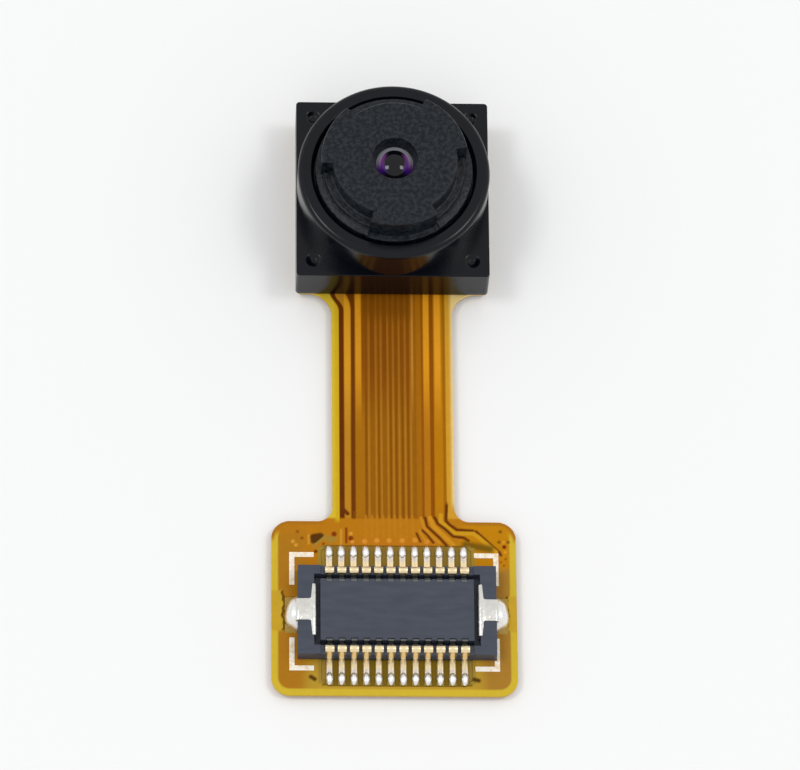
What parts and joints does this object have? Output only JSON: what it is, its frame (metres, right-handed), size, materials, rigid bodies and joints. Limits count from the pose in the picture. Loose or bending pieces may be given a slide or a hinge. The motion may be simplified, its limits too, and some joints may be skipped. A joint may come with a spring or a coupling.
{
  "type": "camera module",
  "caption": "Compact fixed-focus camera module: a square lens holder with a round tower and lobed lens barrel, on an amber flexible circuit ending in a board-to-board socket.",
  "frame": {"origin": "bottom centre of the whole part: the middle of its width and length, on the underside of the stiffening plates that it lies on", "axes": "+Z out of the lens, away from the surface that it lies on; +Y along the flexible circuit from the socket to the camera; +X to the right when the lens is seen with the camera end at the top"},
  "size_m": [0.008, 0.0208, 0.0041],
  "materials": {
    "holder_plastic": "satin black, moulded",
    "barrel_plastic": "matte charcoal, finely pebbled",
    "lens_plastic": "clear optical plastic, coated",
    "filter_glass": "clear pale blue",
    "shield_film": "matte black film",
    "silicon": "polished dark silicon",
    "steel_plate": "brushed stainless steel",
    "adhesive": "cured adhesive",
    "black_adhesive": "cured black adhesive",
    "base_film": "amber film",
    "cover_film": "amber film, glossy",
    "copper": "satin copper",
    "gold_plate": "gold plated, satin",
    "gold_wire": "bright gold",
    "capacitor_ceramic": "matte",
    "socket_plastic": "dark slate blue, moulded",
    "tin_plate": "bright tin plated",
    "solder": "bright solder",
    "white_ink": "matte white print"
  },
  "bodies": {
    "root": {"camera_stiffener": "steel_plate", "connector_stiffener": "steel_plate", "stiffener_adhesive": "adhesive", "bottom_cover_film": "cover_film", "base_film": "base_film", "copper_tracks": "copper", "solder_pads": "gold_plate", "sensor_pads": "gold_plate", "top_cover_film": "cover_film", "corner_marks": "white_ink", "holder_adhesive": "black_adhesive", "lens_holder": "holder_plastic", "infrared_filter": "filter_glass", "lens_barrel": "barrel_plastic", "front_lens": "lens_plastic", "middle_lens": "lens_plastic", "rear_lens": "lens_plastic", "front_light_shield": "shield_film", "rear_light_shield": "shield_film", "lens_retainer": "shield_film", "image_sensor": "silicon", "die_adhesive": "adhesive", "bond_wires": "gold_wire", "ceramic_capacitors": "capacitor_ceramic", "connector_housing": "socket_plastic", "upper_contacts": "gold_plate", "lower_contacts": "gold_plate", "left_hold_down": "tin_plate", "right_hold_down": "tin_plate", "contact_solder": "solder", "hold_down_solder": "solder"}
  },
  "joints": []
}
